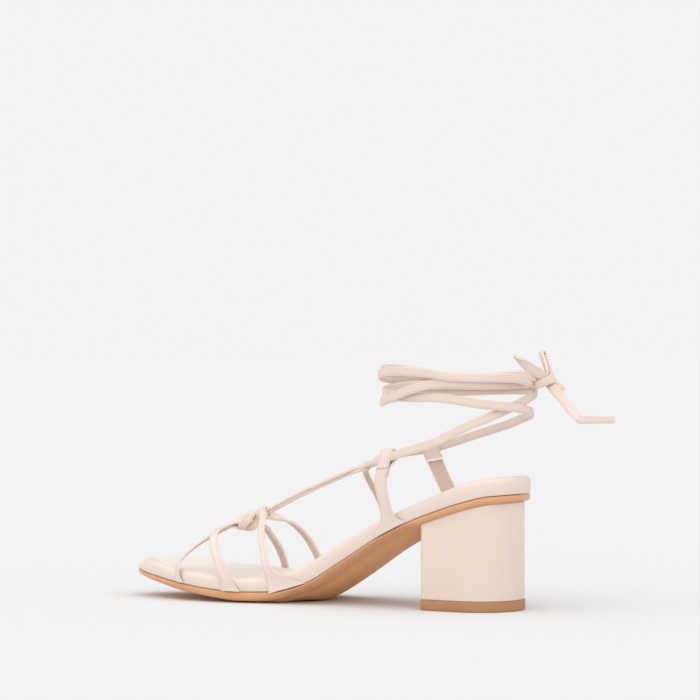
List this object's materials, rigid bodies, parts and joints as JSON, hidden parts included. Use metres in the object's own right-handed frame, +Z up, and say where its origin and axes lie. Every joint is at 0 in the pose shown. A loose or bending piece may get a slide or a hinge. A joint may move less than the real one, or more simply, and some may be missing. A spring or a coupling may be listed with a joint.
{
  "type": "heeled sandal",
  "caption": "Strappy block-heel sandal for the right foot in pale nude leather, with a knotted vamp and a long lace tied round the ankle.",
  "frame": {"origin": "on the floor, at the middle of the heel's round back, on the underside of the top lift", "axes": "+X from toe to heel, -Y to the medial side, +Y to the lateral side, +Z up"},
  "size_m": [0.2824, 0.0802, 0.137],
  "materials": {
    "nude_leather": "smooth, slight gloss",
    "insole_leather": "smooth, matte",
    "tan_sole": "moulded, satin",
    "brown_lift": "moulded, satin"
  },
  "bodies": {
    "root": {"outsole": "tan_sole", "footbed": "nude_leather", "insole": "insole_leather", "heel_block": "nude_leather", "top_lift": "brown_lift", "vamp_straps": "nude_leather", "keeper_medial_front": "nude_leather", "keeper_lateral_front": "nude_leather", "keeper_medial_rear": "nude_leather", "keeper_lateral_rear": "nude_leather", "ankle_lace": "nude_leather", "bow_knot": "nude_leather", "bow_left": "nude_leather", "bow_right": "nude_leather"}
  },
  "joints": []
}
